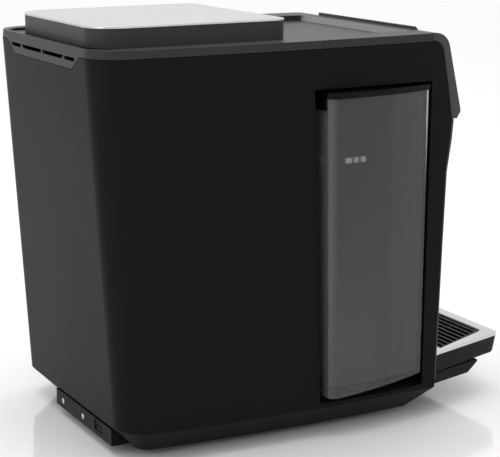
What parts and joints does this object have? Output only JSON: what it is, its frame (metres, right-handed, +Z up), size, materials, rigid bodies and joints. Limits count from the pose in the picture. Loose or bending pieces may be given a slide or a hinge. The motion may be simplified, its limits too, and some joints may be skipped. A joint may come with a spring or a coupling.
{
  "type": "countertop ice maker",
  "caption": "Countertop ice maker with a lift-off water tank in its side, a hinged steel-topped lid and a sloped head over a cup alcove with a drip tray.",
  "frame": {"origin": "centre of the overall bounding box, at the floor under the feet", "axes": "+Z up, -Y to the front where the ice comes out, -X to the side with the water tank"},
  "size_m": [0.3383, 0.502, 0.441],
  "materials": {
    "black_housing": "fine grain, satin",
    "graphite_trim": "satin",
    "front_gradient": "satin graphite, lighter low down",
    "brushed_steel": "brushed along X",
    "smoked_tank": "smoked clear plastic",
    "panel_glass": "gloss black",
    "button_black": "gloss with a pale ring",
    "tray_black": "satin",
    "black_rubber": "matt",
    "silicone_grey": "matt",
    "food_white": "satin",
    "clear_lever": "satin",
    "foam_white": "beaded foam",
    "zinc_sheet": "zinc plated",
    "compressor_paint": "semi-gloss black",
    "fin_aluminium": "mill finish",
    "copper_pipe": "bright copper",
    "stainless": "turned",
    "spring_steel": "bright",
    "circuit_green": "solder resist",
    "motor_grey": "satin"
  },
  "bodies": {
    "cabinet": {"base_pan": "black_housing", "base_rear_strip": "black_housing", "rubber_feet": "black_rubber", "front_shelf": "black_housing", "wrap_housing": "black_housing", "tank_bay_liner": "tray_black", "rear_top_frame": "graphite_trim", "front_top_frame": "graphite_trim", "front_bezel": "front_gradient", "control_glass": "panel_glass", "control_board": "circuit_green", "front_panel": "front_gradient", "alcove_liner": "tray_black", "ice_chute": "food_white", "lever_pin": "stainless", "lever_spring": "spring_steel", "lever_switch": "black_housing", "ice_trough": "food_white", "ice_bin": "food_white", "bin_insulation": "foam_white", "bin_stand": "zinc_sheet", "bin_gearmotor": "motor_grey", "barrel_gearmotor": "motor_grey", "freezing_barrel": "stainless", "extruder_head": "food_white", "ice_riser_tube": "silicone_grey", "reservoir": "food_white", "reservoir_lid": "food_white", "tank_valve_seat": "silicone_grey", "water_pump": "black_housing", "water_hose": "silicone_grey", "compressor": "compressor_paint", "compressor_grommets": "black_rubber", "condenser": "fin_aluminium", "fan_shroud": "black_housing", "fan_motor": "motor_grey", "refrigerant_pipe": "copper_pipe", "power_board": "circuit_green", "power_inlet": "black_housing", "lid_hinge_pins": "stainless", "cover_screws": "spring_steel"},
    "lid_body": {"lid": "graphite_trim", "lid_plate": "brushed_steel", "lid_seal": "silicone_grey", "lid_liner": "food_white"},
    "tank_body": {"water_tank": "smoked_tank", "tank_cap": "tray_black", "tank_valve": "tray_black"},
    "tray_body": {"drip_tray": "tray_black", "tray_rim": "brushed_steel"},
    "grille_body": {"tray_grille": "tray_black"},
    "lever_body": {"dispense_lever": "clear_lever"},
    "flap_body": {"chute_flap": "food_white"},
    "power_button_body": {"power_button": "button_black"},
    "dispense_button_body": {"dispense_button": "button_black"},
    "clean_button_body": {"clean_button": "button_black"},
    "fan_body": {"fan_rotor": "black_housing"},
    "bin_auger_body": {"bin_auger": "stainless"},
    "freezing_auger_body": {"freezing_auger": "stainless"},
    "plug_body": {"drain_plug": "black_rubber"}
  },
  "joints": [
    {"name": "lid_hinge", "type": "hinge", "parent": "cabinet", "child": "lid_body", "pos_m": [0, 0.2305, 0.4275], "axis": [-1, 0, 0], "range_deg": [0, 80]},
    {"name": "tank_slide", "type": "slide", "parent": "cabinet", "child": "tank_body", "axis": [-1, 0, 0], "range_m": [0, 0.075]},
    {"name": "tray_slide", "type": "slide", "parent": "cabinet", "child": "tray_body", "axis": [0, -1, 0], "range_m": [0, 0.19]},
    {"name": "grille_lift", "type": "slide", "parent": "tray_body", "child": "grille_body", "axis": [0, 0, 1], "range_m": [0, 0.03]},
    {"name": "lever_push", "type": "hinge", "parent": "cabinet", "child": "lever_body", "pos_m": [0, -0.082, 0.278], "axis": [1, 0, 0], "range_deg": [0, 6], "stiffness_Nm_per_rad": 0.12, "springref_deg": -20.05, "deforming": ["lever_spring"]},
    {"name": "flap_swing", "type": "hinge", "parent": "cabinet", "child": "flap_body", "pos_m": [0, -0.0895, 0.281], "axis": [1, 0, 0], "range_deg": [0, 55]},
    {"name": "power_press", "type": "slide", "parent": "cabinet", "child": "power_button_body", "axis": [0, 1, 0], "range_m": [0, 0.0015], "stiffness_N_per_m": 400, "springref_m": -0.0006},
    {"name": "dispense_press", "type": "slide", "parent": "cabinet", "child": "dispense_button_body", "axis": [0, 1, 0], "range_m": [0, 0.0015], "stiffness_N_per_m": 400, "springref_m": -0.0006},
    {"name": "clean_press", "type": "slide", "parent": "cabinet", "child": "clean_button_body", "axis": [0, 1, 0], "range_m": [0, 0.0015], "stiffness_N_per_m": 400, "springref_m": -0.0006},
    {"name": "fan_spin", "type": "hinge", "parent": "cabinet", "child": "fan_body", "pos_m": [-0.06514, 0.1685, 0.092], "axis": [0, 1, 0], "continuous": true},
    {"name": "bin_auger_spin", "type": "hinge", "parent": "cabinet", "child": "bin_auger_body", "pos_m": [0.00686, 0.031, 0.33], "axis": [0, 1, 0], "continuous": true},
    {"name": "freezing_auger_spin", "type": "hinge", "parent": "cabinet", "child": "freezing_auger_body", "pos_m": [0.08186, -0.014, 0.16], "axis": [0, 0, 1], "continuous": true},
    {"name": "plug_pull", "type": "slide", "parent": "cabinet", "child": "plug_body", "axis": [1, 0, 0], "range_m": [0, 0.02]}
  ],
  "couplings": [
    {"joint": "flap_swing", "follows": "lever_push", "ratio": 9.15}
  ]
}
